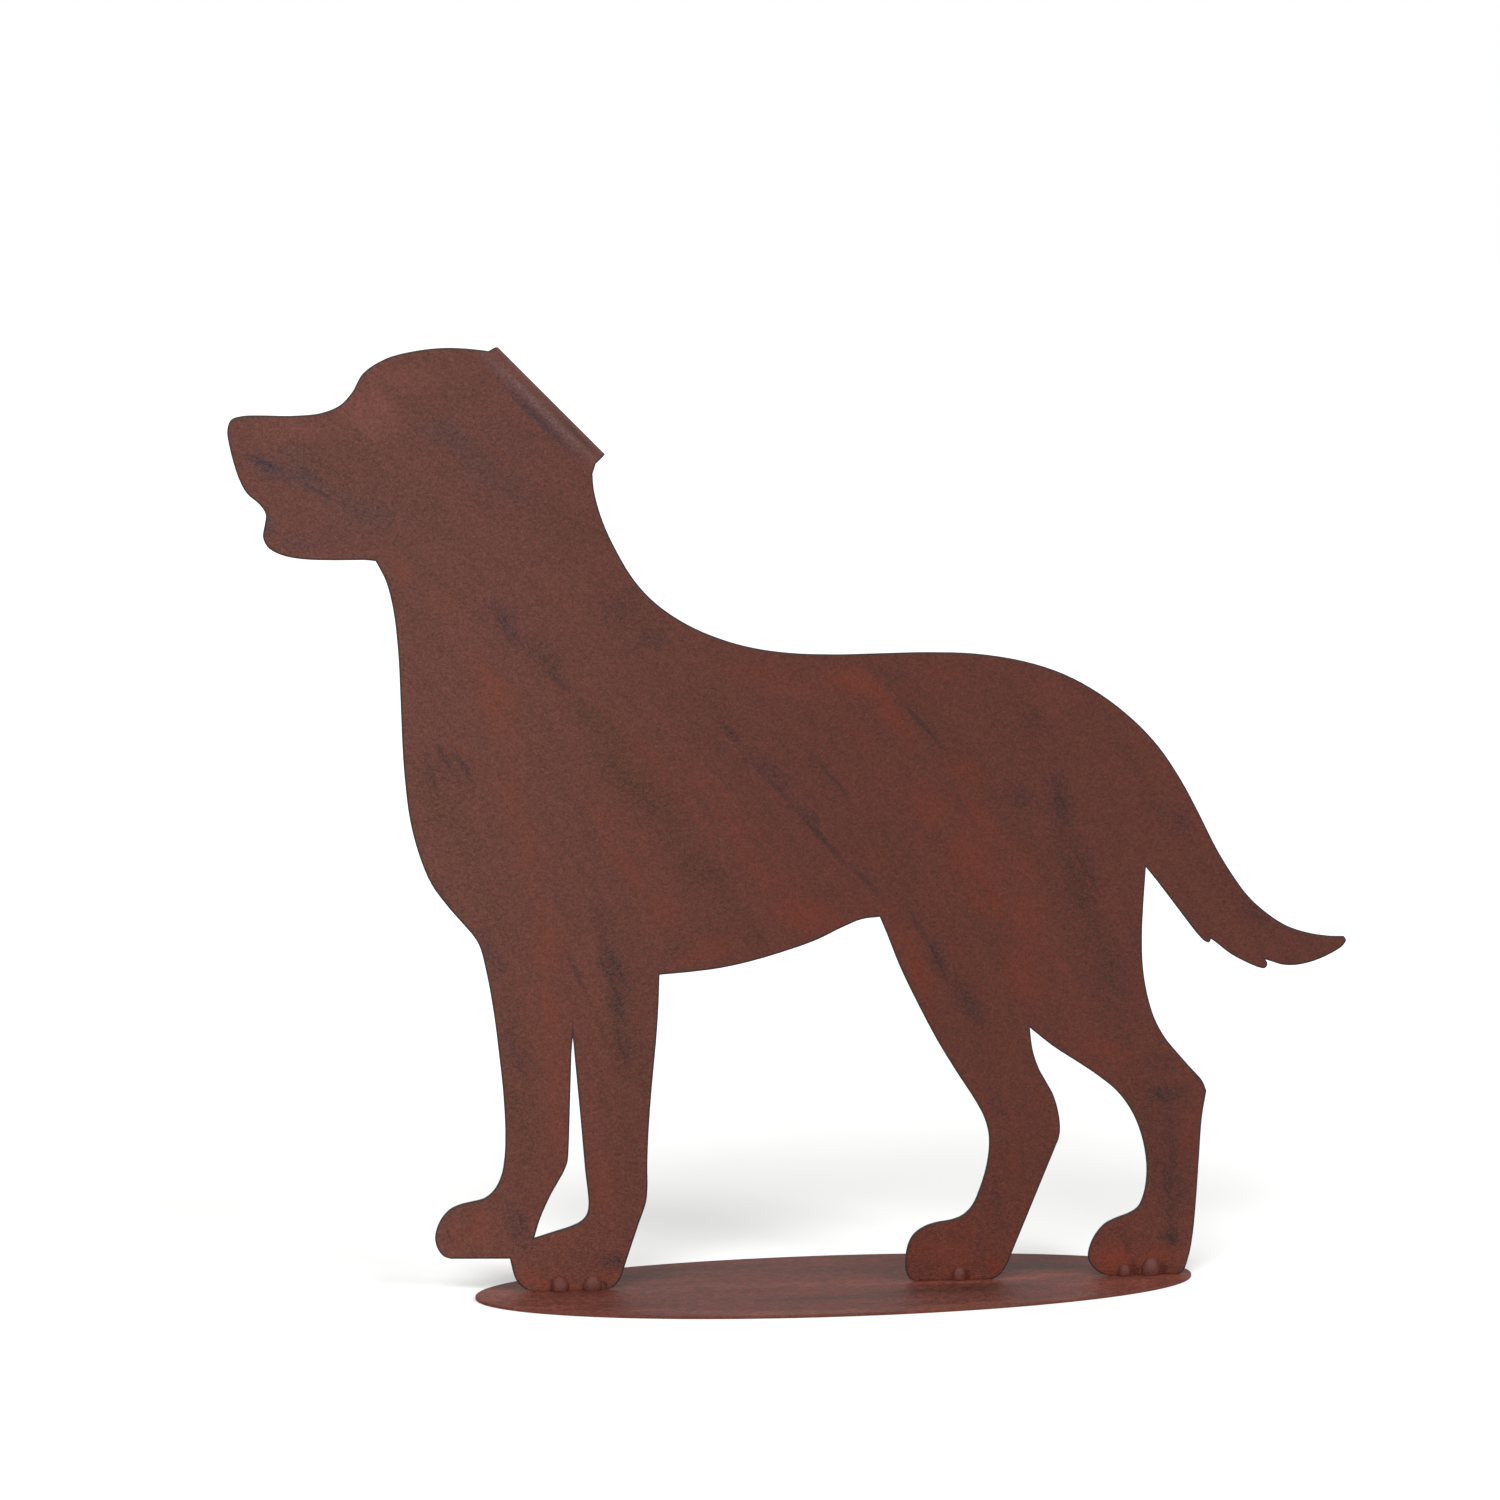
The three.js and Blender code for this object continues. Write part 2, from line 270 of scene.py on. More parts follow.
dogPatina = {
    "paleTo": (-230.0, 60.0),  # x over which the pale brown turns deep
    "paintedFootLight": (60.0, 4.0, 1.24),  # z from which the paint gets brighter down to the plate: painted light against the shade there
    "sweep": 660.0,  # mm, the brush strokes run on parabolas that steepen towards the plate
    "strokeWidth": 4.0,
    "strokeLength": 110.0,
    "bandWidth": 22.0,
    "bandLength": 160.0,
    "backShift": (47.0, 0.0, -23.0),  # the far side has its own patches
    "backSeed": 4.4,
    # Ramps of the brush noise: where it lets dark and olive through, orange, and thin strokes
    "streaky": (0.36, 0.60, 0.4, 1.15),
    "smudged": (0.62, 0.40, 0.6, 1.2),
    "broken": (0.3, 0.5, 0.6, 1.0),
    # And of the wide bands, which add some olive and orange everywhere
    "oliveBands": (0.52, 0.72, 0.0, 0.55),
    "orangeBands": (0.46, 0.26, 0.0, 0.45),
    "brushShade": (0.80, 0.40),
    "hollows": {"plain": 0.45, "olive": 0.25, "dark": 0.5, "strokes": 0.35},
    "relief": {  # of the grain
        "plain": 1.15, "olive": 0.4, "dark": 0.6, "orange": -0.4, "bloom": -0.4,
    },
    "rim": 0.95,
    "rimFrom": (1.6, 4.5),  # z over which the dark edge begins, as the feet have none at the plate
    "roughness": {"plain": 0.50, "grain": 0.10, "dark": -0.06, "worn": -0.18},
    "grey": [
        (-256, 411, 12, 5, 28, 1.1), (-240, 402, 18, 5, 30, 0.85), (-243, 415, 10, 6, 20, 0.35),
        (-212, 387, 24, 10, 10, 0.4), (-240, 374, 16, 4, 5, 0.4), (-257, 382, 3, 6, 60, 1.2),
        (-170, 424, 17, 8, 32, 0.7), (-158, 411, 18, 10, 50, 0.6), (-142, 401, 17, 11, 20, 0.5),
        (-138, 421, 20, 11, 35, 0.25),
    ],
    "dark": [
        (-139, 330, 16, 4, 58, 1.0), (-126, 316, 17, 7, 45, 0.35),
        (-89, 341, 10, 8, 10, 0.35), (-72, 322, 8, 6, 0, 0.6), (-169, 263, 14, 9, 62, 0.45),
        (-31, 277, 11, 4, 50, 0.7), (-15, 258, 14, 6, 45, 0.6), (4, 234, 12, 4, 47, 0.7),
        (48, 303, 9, 5, 10, 0.35), (115, 282, 8, 5, 80, 0.6), (131, 240, 16, 7, 75, 0.85),
        (112, 246, 11, 7, 10, 0.5), (140, 208, 27, 8, 77, 0.45), (158, 155, 20, 11, 80, 0.35),
        (168, 168, 14, 4, 88, 0.4), (70, 164, 13, 3, 64, 0.9), (88, 140, 14, 5, 70, 0.6),
        (182, 233, 15, 6, 30, 0.35), (191, 231, 8, 6, 50, 0.5), (228, 184, 12, 6, 50, 0.5),
        (247, 163, 7, 3, 5, 0.6), (184, 95, 11, 5, 8, 1.0), (181, 113, 9, 4, 10, 0.5),
        (188, 78, 16, 6, 89, 0.45), (188, 45, 24, 8, 89, 0.5), (190, 20, 8, 8, 0, 1.2),
        (100, 90, 9, 5, 70, 0.4), (103, 38, 16, 5, 85, 0.5), (92, 17, 12, 4, 85, 0.45),
        (122, 112, 9, 3, 65, 0.6), (164, 17, 10, 4, 65, 0.45), (154, 17, 8, 3, 65, 0.35),
        (-91, 163, 13, 7, 80, 1.05), (-90, 145, 12, 5, 70, 0.8), (-86, 125, 14, 5, 80, 0.6),
        (-83, 115, 5, 4, 80, 0.6), (-138, 122, 15, 5, 65, 0.5), (-150, 172, 14, 5, 65, 0.5),
        (-138, 33, 16, 6, 72, 0.8), (-112, 17, 12, 7, 0, 0.2), (-129, 46, 5, 3, 50, 0.5),
        (-172, 29, 9, 2, 70, 0.6), (-93, 17, 8, 5, 20, 1.1), (-84, 28, 10, 3, 65, 0.5),
        (-60, 170, 9, 5, 30, 0.3), (-97, 182, 14, 6, 62, 0.45),
    ],
    "olive": [
        (-185, 392, 26, 12, 30, 0.35), (-175, 445, 30, 8, 5, 0.3), (-112, 380, 26, 10, 25, 0.6),
        (-82, 333, 24, 12, 35, 0.45), (-122, 311, 16, 7, 48, 0.8), (-98, 280, 30, 9, 50, 0.85),
        (-76, 248, 42, 13, 48, 1.0), (-47, 208, 26, 10, 50, 0.9), (-25, 183, 18, 9, 48, 0.5),
        (-172, 240, 32, 10, 65, 0.6), (-150, 190, 24, 8, 62, 0.4), (8, 258, 28, 8, 50, 0.5),
        (-42, 292, 24, 10, 42, 0.4), (105, 276, 26, 11, 45, 0.35), (118, 264, 12, 6, 70, 0.6),
        (138, 206, 32, 9, 77, 0.9), (151, 174, 24, 8, 75, 0.7), (160, 140, 30, 10, 80, 0.3),
        (86, 146, 32, 8, 66, 0.7), (72, 180, 16, 7, 60, 0.5), (92, 118, 18, 10, 72, 0.4),
        (186, 62, 40, 9, 89, 0.5), (215, 198, 34, 9, 45, 0.4), (-90, 160, 22, 9, 80, 0.6),
        (-86, 122, 26, 8, 82, 0.7), (-86, 75, 26, 8, 88, 0.3), (-140, 140, 26, 7, 78, 0.5),
        (-136, 92, 38, 8, 85, 0.65), (50, 210, 40, 10, 60, 0.35), (-90, 178, 14, 9, 60, 0.4),
    ],
    "orange": [
        (-176, 343, 10, 8, 40, 0.35), (-150, 299, 22, 10, 62, 0.9), (-143, 280, 16, 9, 60, 0.6),
        (-140, 250, 20, 9, 78, 0.55), (-135, 223, 26, 9, 75, 0.6), (-97, 236, 14, 5, 62, 0.7),
        (-86, 214, 22, 7, 62, 0.7), (-31, 229, 13, 6, 62, 0.7), (-18, 211, 20, 7, 48, 0.7),
        (4, 188, 22, 11, 30, 1.1), (28, 190, 14, 5, 5, 0.5), (38, 217, 8, 6, 20, 0.5),
        (-15, 305, 26, 6, 8, 0.45), (28, 302, 18, 7, 20, 1.0), (46, 287, 22, 6, 52, 1.0),
        (70, 307, 12, 7, 10, 0.4), (83, 255, 13, 8, 45, 1.2), (65, 240, 14, 9, 60, 0.8),
        (90, 232, 20, 9, 52, 0.8), (86, 212, 22, 13, 60, 1.0), (93, 194, 14, 10, 30, 1.0),
        (112, 214, 14, 9, 60, 0.7), (112, 186, 24, 14, 72, 0.9), (112, 158, 20, 13, 80, 0.8),
        (57, 163, 34, 6, 66, 0.85), (152, 116, 22, 6, 30, 0.9), (165, 101, 12, 5, 40, 0.6),
        (-68, 192, 14, 13, 60, 0.6), (-48, 169, 20, 5, -4, 0.7), (-124, 178, 24, 10, 82, 0.6),
        (-124, 140, 26, 7, 85, 0.9), (-121, 95, 34, 5, 88, 1.0), (-113, 115, 12, 4, 85, 0.6),
        (-97, 55, 20, 7, 80, 0.9), (-160, 32, 14, 10, 5, 0.7), (-134, 8, 9, 7, 40, 0.9),
        (-92, 9, 12, 5, 0, 0.6), (157, 9, 15, 10, 5, 0.9), (185, 10, 14, 6, 0, 0.9),
        (76, 14, 14, 10, 20, 0.4), (60, 17, 6, 10, 0, 0.6), (100, 8, 8, 5, 70, 0.6),
        (80, 30, 20, 6, 20, 0.3), (110, 60, 8, 6, 70, 0.4), (200, 70, 30, 4, 88, 0.6),
        (-195, 357, 10, 5, 65, 0.6),
        # Rust along the foot lines
        (-128, 1.5, 7, 2.5, 0, 1.5), (-110, 1.5, 5, 2.5, 0, 1.4), (82, 1.5, 20, 2.5, 0, 1.0),
        (168, 2, 24, 3, -5, 0.9), (-114, 90, 90, 36, 88, 0.35),
    ],
    "bloom": [
        (-207, 436, 18, 12, 12, 1.2), (-192, 452, 26, 7, 3, 0.6), (-243, 427, 28, 9, 8, 0.8),
        (-128, 452, 24, 7, 12, 0.3), (-165, 330, 20, 10, 62, 0.25),
        (0, 298, 16, 8, 5, 0.4), (30, 303, 18, 6, 12, 0.35), (126, 298, 16, 7, 15, 0.4),
        (-100, 160, 22, 5, 80, 0.3), (158, 10, 20, 10, 0, 0.4), (76, 14, 16, 10, 0, 0.35),
    ],
    # Thin dark strokes
    "strokes": [
        (-125, 430, 25, 2.3, 45, 0.75), (-108, 424, 12, 1.3, 45, 0.8), (-117, 304, 9, 1.6, 42, 0.6),
        (-180, 261, 12, 1.8, 70, 0.6), (-172, 266, 14, 1.8, 62, 0.8), (-163, 262, 11, 1.8, 62, 0.7),
        (-258, 411, 12, 1.8, 24, 0.8), (-232, 397, 12, 1.4, 30, 0.6), (-9, 249, 16, 1.5, 48, 0.6),
        (12, 225, 20, 2.0, 47, 0.9), (33, 204, 16, 1.5, 45, 0.6), (17, 255, 16, 1.4, 47, 0.6),
        (61, 281, 15, 1.4, 48, 0.8), (82, 240, 13, 1.4, 58, 0.4), (69, 165, 16, 1.6, 64, 0.9),
        (60, 180, 12, 1.4, 62, 0.6), (131, 242, 7, 1.4, 60, 1.0), (-109, 160, 14, 1.5, 66, 0.6),
        (-97, 132, 14, 1.2, 70, 0.4), (-18, 176, 10, 1.2, 52, 0.5), (-172, 30, 8, 1.2, 68, 0.6),
        (165, 18, 8, 1.4, 66, 0.6), (113, 62, 16, 1.2, 84, 0.4), (-8, 272, 10, 1.2, 50, 0.4),
        (188, 50, 24, 1.6, 89, 0.6), (-32, 277, 10, 1.6, 50, 0.6),
    ],
    # Painted shade: dark spots in the corners beside the weld beads, where sheet, bead and plate meet
    "beadCornerShade": [
        (84.8, 4, 3.0, 1.7, 78, 1.5), (170, 4.5, 4, 2.6, 60, 1.3), (184.6, 4.5, 4, 2.2, 78, 1.5),
        (99.4, 2.2, 3, 0.9, -6, 1.6), (-105, 3, 2.5, 1.5, 80, 1.1), (-96, 4, 3, 1.5, 70, 0.9),
    ],
    "worn": [(-127, 436, 40, 5, 45, 1.0)],  # greyer and shinier along the bend: the grey is painted sheen and shade where the highlight falls, the shine is real
    "ragged": ((26.0, 5.0), (9.0, 2.0)),  # grain and reach of the noise that roughens the patches
    "raggedSeed": 1,  # without a seed this noise starts from the clock
    "raggedStrokes": (5.0, 2.4),
}


def dogRust():
    look = dogPatina
    material, nodes = newMaterial("dog_rust")
    surface = nodes.scaled(nodes.objectPlace(), 1 / mm)
    far = nodes.painted("back") > 0.5
    place = nodes.vector("ADD", surface, nodes.scaled(look["backShift"], far))

    # Brush strokes: noise stretched along them, narrow and in wide bands
    x, z = nodes.axis(place, 0), nodes.axis(place, 2)
    across = x + z * z / look["sweep"]
    seed = far * look["backSeed"]
    narrow = nodes.combine(across / look["strokeWidth"], seed, z / look["strokeLength"])
    wide = nodes.combine(across / look["bandWidth"], seed, z / look["bandLength"])
    brushed = nodes.noise(narrow, 1.0, *noiseKinds["rich"])
    bands = nodes.noise(wide, 1.0, *noiseKinds["smooth"])

    streaky = brushed.ramp(*look["streaky"])
    bloom = nodes.painted("bloom")
    grey = nodes.painted("grey") * streaky
    dark = nodes.painted("dark") * streaky
    olive = nodes.painted("olive").orMore(bands.ramp(*look["oliveBands"])) * streaky
    smudged = brushed.ramp(*look["smudged"])
    orange = nodes.painted("orange").orMore(bands.ramp(*look["orangeBands"])) * smudged
    worn = patches(nodes, surface, look["worn"])
    torn = ragged(nodes, place, *look["raggedStrokes"])
    strokes = patches(nodes, torn, look["strokes"]) * brushed.ramp(*look["broken"])
    height, grain, hollows = leather(nodes, place, patina["grain"])
    sunk = look["hollows"]
    hollow = hollows * (sunk["plain"] + sunk["olive"] * olive + sunk["dark"] * dark)
    # Grain hollows and dark strokes, with the painted shade beside the beads
    hollowsAndCornerShade = hollow + sunk["strokes"] * strokes + patches(nodes, torn, look["beadCornerShade"])

    raised = look["relief"]
    relief = raised["plain"] + raised["olive"] * olive + raised["dark"] * grey.orMore(dark)
    relief = relief + raised["orange"] * orange + raised["bloom"] * bloom

    color = nodes.mix(paint(patina["pale"]), paint(patina["deep"]), x.ramp(*look["paleTo"]))
    tints = {
        "orange": orange,
        "olive": olive,
        "bloom": bloom,
        "grey": grey,
        "dark": dark.orMore(strokes),
        "worn": worn,
        "hollow": hollowsAndCornerShade,
    }
    for name, amount in tints.items():
        color = nodes.mix(color, tint(name), amount, "MULTIPLY")
    top, bottom, brightest = look["paintedFootLight"]
    plain, gain = look["brushShade"]
    # Brush-stroke tone, times painted light that brightens the paint towards the plate
    light = (plain + gain * brushed) * z.ramp(top, bottom, 1.0, brightest)
    color = shaded(nodes, color, light * (1 + relief * (grain - 1)))
    edge = nodes.painted("rim") * look["rim"] * nodes.axis(surface, 2).ramp(*look["rimFrom"])
    color = nodes.mix(color, paint(patina["edge"]), edge)

    rough = look["roughness"]
    roughness = rough["plain"] + rough["grain"] * (grain - 1) + rough["dark"] * dark + rough["worn"] * worn
    finishSurface(nodes, color, roughness, height * relief, patina["grainDepth"])
    return material


# The dog: the frame's own sheet with rounded cut edges, a grid over its faces and a slight wave

dogSheet = {
    "node": "dog_sheet",
    "edgeWidth": 0.40 * mm,
    "edgeDepth": 0.20 * mm,
    "fade": 0.70 * mm,
    "cell": 4 * mm,
    "wave": 0.14 * mm,
    "waveLength": 90 * mm,
    "stillBelow": 12 * mm,
    "wavyAbove": 70 * mm,
    "mergeWithin": 1e-6,
    "cutWithin": 1e-7,
    "facing": 0.99,  # how far along y the normal of a flat face points
    "flatWithin": 0.3,  # degrees, facets that make one flat face
    "roundWithin": 40,  # and facets that make one side of the sheet, round the bend too
}


def sameSide(start, limit):
    found = {start}
    queue = [start]
    while queue:
        face = queue.pop()
        for edge in face.edges:
            for other in edge.link_faces:
                if other not in found and edge.calc_face_angle(math.pi) < limit:
                    found.add(other)
                    queue.append(other)
    return found


def mergedCopy(name):
    bm = bmesh.new()
    bm.from_mesh(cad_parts[name].data)
    bmesh.ops.remove_doubles(bm, verts=bm.verts, dist=dogSheet["mergeWithin"])
    return bm


# Cuts faces along planes one cell apart, the middle plane first, so that every cut meets few faces
def gridCut(bm, faces, axis, first, last, cell):
    if first > last or not faces:
        return
    middle = (first + last) // 2
    normal = Vector([float(i == axis) for i in range(3)])
    edges = {edge for face in faces for edge in face.edges}
    verts = {vert for face in faces for vert in face.verts}
    where = normal * middle * cell
    within = dogSheet["cutWithin"]
    cut = bmesh.ops.bisect_plane(
        bm, geom=[*faces, *edges, *verts], dist=within, plane_co=where, plane_no=normal)
    pieces = [item for item in cut["geom"] if isinstance(item, bmesh.types.BMFace)]
    below = [face for face in pieces if face.calc_center_median()[axis] < middle * cell]
    above = [face for face in pieces if face.calc_center_median()[axis] >= middle * cell]
    gridCut(bm, below, axis, first, middle - 1, cell)
    gridCut(bm, above, axis, middle + 1, last, cell)


# Gives how strongly the patches mark a point, in mm, the strongest one counting
def patchPainter(rows):
    outer, inner = patina["patchFade"]
    leans = [math.radians(row[4]) for row in rows]
    turned = [(*row, math.cos(lean), math.sin(lean)) for row, lean in zip(rows, leans)]

    def amount(px, pz):
        most = 0.0
        for x, z, halfLength, halfWidth, _, strength, cos, sin in turned:
            along = ((px - x) * cos - (pz - z) * sin) / halfLength
            across = ((px - x) * sin + (pz - z) * cos) / halfWidth
            inside = min((outer - math.hypot(along, across)) / (outer - inner), 1.0)
            if inside > 0:
                most = max(most, strength * inside * inside * (3 - 2 * inside))
        return most

    return amount


def paintPatches(bm, backLayer):
    painters = {}
    for name in ("grey", "dark", "olive", "orange", "bloom"):
        painters[bm.verts.layers.float.new(name)] = patchPainter(dogPatina[name])
    shift = Vector(dogPatina["backShift"])
    noise.seed_set(dogPatina["raggedSeed"])
    for vert in bm.verts:
        place = vert.co / mm + shift * vert[backLayer]
        for grain, reach in dogPatina["ragged"]:
            place = place + noise.noise_vector(place / grain) * reach
        for layer, amount in painters.items():
            vert[layer] = amount(place.x, place.z)


def buildDog(material):
    size = dogSheet
    bm = mergedCopy(size["node"])
    flatWithin, roundWithin = math.radians(size["flatWithin"]), math.radians(size["roundWithin"])
    bmesh.ops.dissolve_limit(bm, angle_limit=flatWithin, verts=bm.verts, edges=bm.edges)
    rimLayer = bm.verts.layers.float.new("rim")
    backLayer = bm.verts.layers.float.new("back")
    facing = size["facing"]
    near = max((f for f in bm.faces if f.normal.y < -facing), key=lambda f: f.calc_area())
    back = max((f for f in bm.faces if f.normal.y > facing), key=lambda f: f.calc_area())
    backSkin = sameSide(back, roundWithin)
    skins = sameSide(near, roundWithin) | backSkin
    walls = {f for f in bm.faces if f not in skins}
    for face in backSkin:
        for vert in face.verts:
            vert[backLayer] = 1.0

    # Two insets: the rounded edge, then the strip over which the dark line fades
    edgeWidth = size["edgeWidth"]
    edgeStrip = bmesh.ops.inset_region(bm, faces=list(skins), thickness=edgeWidth, use_even_offset=True)
    for vert in {v for face in edgeStrip["faces"] for v in face.verts}:
        vert[rimLayer] = 1.0
    bmesh.ops.inset_region(bm, faces=list(skins), thickness=size["fade"], use_even_offset=True)
    for face in skins:
        for vert in face.verts:
            vert[rimLayer] = 0.0
    # The insets share out the old vertices anew, so the cut edge is found after them
    bm.normal_update()
    for vert in {v for face in walls for v in face.verts}:
        normals = [f.normal for f in vert.link_faces if f not in walls]
        vert.co -= sum(normals, Vector()).normalized() * size["edgeDepth"]

    lo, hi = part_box(size["node"])
    for axis in (0, 2):
        first, last = math.ceil(lo[axis] / size["cell"]), math.floor(hi[axis] / size["cell"])
        gridCut(bm, bm.faces[:], axis, first, last, size["cell"])
    paintPatches(bm, backLayer)
    for vert in bm.verts:
        share = (vert.co.z - size["stillBelow"]) / (size["wavyAbove"] - size["stillBelow"])
        flat = Vector((vert.co.x, 0, vert.co.z)) / size["waveLength"]
        vert.co.y += size["wave"] * noise.noise(flat) * min(max(share, 0), 1)
    return finishMesh("dog_silhouette", bm, material)


sharpAngle = 60  # degrees, edges bent more than this are not shaded smooth


def finishMesh(name, bm, material):
    for face in bm.faces:
        face.smooth = True
    for edge in bm.edges:
        edge.smooth = edge.calc_face_angle(0) < math.radians(sharpAngle)
    mesh = bpy.data.meshes.new(name)
    bm.to_mesh(mesh)
    bm.free()
    piece = bpy.data.objects.new(name, mesh)
    bpy.context.collection.objects.link(piece)
    mesh.materials.append(material)
    return piece


# The oval plate

plate = {
    "node": "base_plate",
    "inside": 0.03 * mm,  # keeps the round oval within the frame's faceted one
    "edgeRadius": 0.35 * mm,
    "edgeSteps": 4,
    "segments": 288,
    "rings": 14,
    "underRing": 0.5,  # where the one ring of the underside lies, in the half axes
    "fade": 0.7 * mm,
}

platePatina = {
    "base": (113, 79, 74),
    "colors": {
        "pale": (123, 86, 78),
        "rust": (130, 86, 78),
        "grey": (94, 76, 72),
        "stainAndShadow": (93, 74, 68),
    },
    "edge": (102, 72, 67),
    "pale": [
        (-10, 1, 75, 5, 0, 0.9), (36, -3, 30, 4, 2, 0.7), (-150, 0, 14, 9, -20, 1.0),
        (-60, -47, 45, 7, 14, 0.9), (0, -57, 60, 7, 0, 1.2), (70, -52, 50, 8, -10, 1.1),
        (140, -37, 35, 9, -22, 0.9), (-72, -4, 30, 5, 0, 0.7), (132, -14, 20, 6, 0, 0.5),
    ],
    "rust": [
        (-150, -10, 32, 14, 5, 1.1), (-125, -33, 40, 11, 20, 1.0), (-108, -17, 34, 8, 2, 1.0),
        (75, -3, 32, 4, 2, 1.1), (162, -15, 36, 13, -5, 1.1), (188, -6, 18, 12, 0, 1.0),
        (70, -50, 40, 6, -10, 0.5), (122, 4, 28, 5, -12, 1.1),
    ],
    # Grey patches: grey streaks, and beside the front paw behind the sheet painted shadow where the dog
    # shades the plate
    "grey": [
        (-78, 24, 28, 9, -10, 1.0), (-50, 38, 60, 8, -6, 0.8), (20, 30, 60, 12, 0, 0.6),
        (126, 25, 34, 9, 5, 1.2), (12, -28, 42, 5, -1, 1.0), (45, -21, 24, 5, -5, 0.8),
        (70, 30, 40, 8, 0, 0.5),
    ],
    # Dark patches: stains, and before the hind paw painted shadow where the dog shades the plate
    "stainAndShadow": [(85, -17, 40, 9, -3, 0.85), (-105, -14, 25, 5, 2, 0.3), (130, 24, 14, 5, 0, 0.25)],
    "strokeLength": 70.0,
    "strokeWidth": 5.0,
    "ragged": (24.0, 7.0),
    "streaky": (0.34, 0.62, 0.55, 1.1),
    "brushShade": (0.77, 0.52),
    "grain": 3.0,
    "grainShade": 1.4,
    "hollows": 0.3,
    "rim": 0.5,
    "roughness": (0.62, 0.10),
}


def plateRust():
    look = platePatina
    material, nodes = newMaterial("plate_rust")
    place = nodes.scaled(nodes.objectPlace(), 1 / mm)
    width = look["strokeWidth"]
    stroked = nodes.vector("DIVIDE", place, (look["strokeLength"], width, width))
    brushed = nodes.noise(stroked, 1.0, *noiseKinds["rich"])
    torn = ragged(nodes, place, *look["ragged"])
    streaky = brushed.ramp(*look["streaky"])
    height, grain, hollows = leather(nodes, place, look["grain"])
    color = paint(look["base"], "level")
    for name, seen in look["colors"].items():
        color = nodes.mix(color, paint(seen, "level"), patches(nodes, torn, look[name], "z") * streaky)
    color = nodes.mix(color, tint("hollow"), hollows * look["hollows"], "MULTIPLY")
    plain, gain = look["brushShade"]
    color = shaded(nodes, color, (1 + look["grainShade"] * (grain - 1)) * (plain + gain * brushed))
    color = nodes.mix(color, paint(look["edge"], "level"), nodes.painted("rim") * look["rim"])
    plainRough, grainRough = look["roughness"]
    finishSurface(nodes, color, plainRough + grainRough * (grain - 1), height, patina["grainDepth"])
    return material


# The plate's centre, half axes and turn, read from the frame's own oval
def plateOval():
    lo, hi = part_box(plate["node"])
    centre = (lo + hi) / 2
    rimPoints = [v.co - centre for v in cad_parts[plate["node"]].data.vertices]
    flat = [Vector((p.x, p.y)) for p in rimPoints]
    far = max(flat, key=lambda p: (p.length, p.x))
    near = min((p for p in flat if p.length > 1 * mm), key=lambda p: p.length)
    if far.x < 0:
        far = -far
    return centre, far.length, near.length, math.atan2(far.y, far.x)


def buildPlate(material):
    size = plate
    centre, halfLength, halfWidth, turn = plateOval()
    lo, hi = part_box(size["node"])
    radius, steps, rings = size["edgeRadius"], size["edgeSteps"], size["rings"]
    inner = size["inside"] + radius + size["fade"]

    # Half a section from the top's middle out round the edge and under: distance in from the rim,
    # share of what is left of the half axes, height, rim value
    section = [(inner, (i + 1) / (rings + 1), hi.z, 0.0) for i in range(rings + 1)]
    angles = [math.pi / 2 * i / steps for i in range(steps + 1)]
    for angle in angles:
        inwards = size["inside"] + radius * (1 - math.sin(angle))
        section.append((inwards, 1.0, hi.z - radius * (1 - math.cos(angle)), 1.0))
    for angle in reversed(angles):
        inwards = size["inside"] + radius * (1 - math.sin(angle))
        section.append((inwards, 1.0, lo.z + radius * (1 - math.cos(angle)), 1.0))
    section += [(inner, 1.0, lo.z, 0.0), (inner, size["underRing"], lo.z, 0.0)]

    bm = bmesh.new()
    rimLayer = bm.verts.layers.float.new("rim")
    count = size["segments"]
    loops = []
    for inwards, share, height, value in section:
        loop = []
        for i in range(count):
            angle = 2 * math.pi * i / count
            x = (halfLength - inwards) * share * math.cos(angle)
            y = (halfWidth - inwards) * share * math.sin(angle)
            vert = bm.verts.new((x, y, height))
            vert[rimLayer] = value
            loop.append(vert)
        loops.append(loop)
    top, under = bm.verts.new((0, 0, hi.z)), bm.verts.new((0, 0, lo.z))
    for i in range(count):
        j = (i + 1) % count
        for inside, outside in zip(loops, loops[1:]):
            bm.faces.new((inside[i], outside[i], outside[j], inside[j]))
        bm.faces.new((top, loops[0][i], loops[0][j]))
        bm.faces.new((under, loops[-1][j], loops[-1][i]))
    move = Matrix.Translation((centre.x, centre.y, 0)) @ Matrix.Rotation(turn, 4, "Z")
    bmesh.ops.transform(bm, matrix=move, verts=bm.verts)
    bmesh.ops.recalc_face_normals(bm, faces=bm.faces)
    return finishMesh("oval_plate", bm, material)


# Weld beads and spatter, made with Geometry Nodes

weldBeads = {
    "nodes": [
        "weld_front_paw_toe", "weld_front_paw_heel", "weld_hind_paw",
        "weld_rear_paw_toe", "weld_rear_paw_heel",
    ],
    "segments": 64,
    "rings": 40,
    "slope": 1.25,  # 1 is a ball, more runs out softer into the sheet
    "sunk": 0.25,  # how far the ball's middle stands above the plate, in its radius
    "reach": 0.72,  # of the frame's bead, which the photo shows flatter
    "root": 0.5 * mm,  # how far it runs into the sheet and the plate
    "lumpDepth": 0.06,
    "lumpSize": 0.9,
    "lumpDetail": 2.0,
    "lumpRamp": (0.35, 0.65),
    "seedStep": 3.1,
    "colors": ((107, 63, 57), (110, 67, 61)),
    "blotch": 3.0,  # mm
    "blotchRamp": (0.4, 0.6),
    "grain": 0.75,
    "grainDepth": 0.1,
    "hollows": 0.25,
    "roughness": (0.5, 0.2),
}


def newGeometryTree(name, sockets):
    tree = bpy.data.node_groups.new(name, "GeometryNodeTree")
    nodes = Nodes(tree)
    for label, kind in sockets.items():
        tree.interface.new_socket(label, in_out="INPUT", socket_type=kind)
    tree.interface.new_socket("Geometry", in_out="OUTPUT", socket_type="NodeSocketGeometry")
    source = tree.nodes.new("NodeGroupInput")
    given = {label: Wire(nodes, source.outputs[label]) for label in sockets}
    return tree, nodes, given


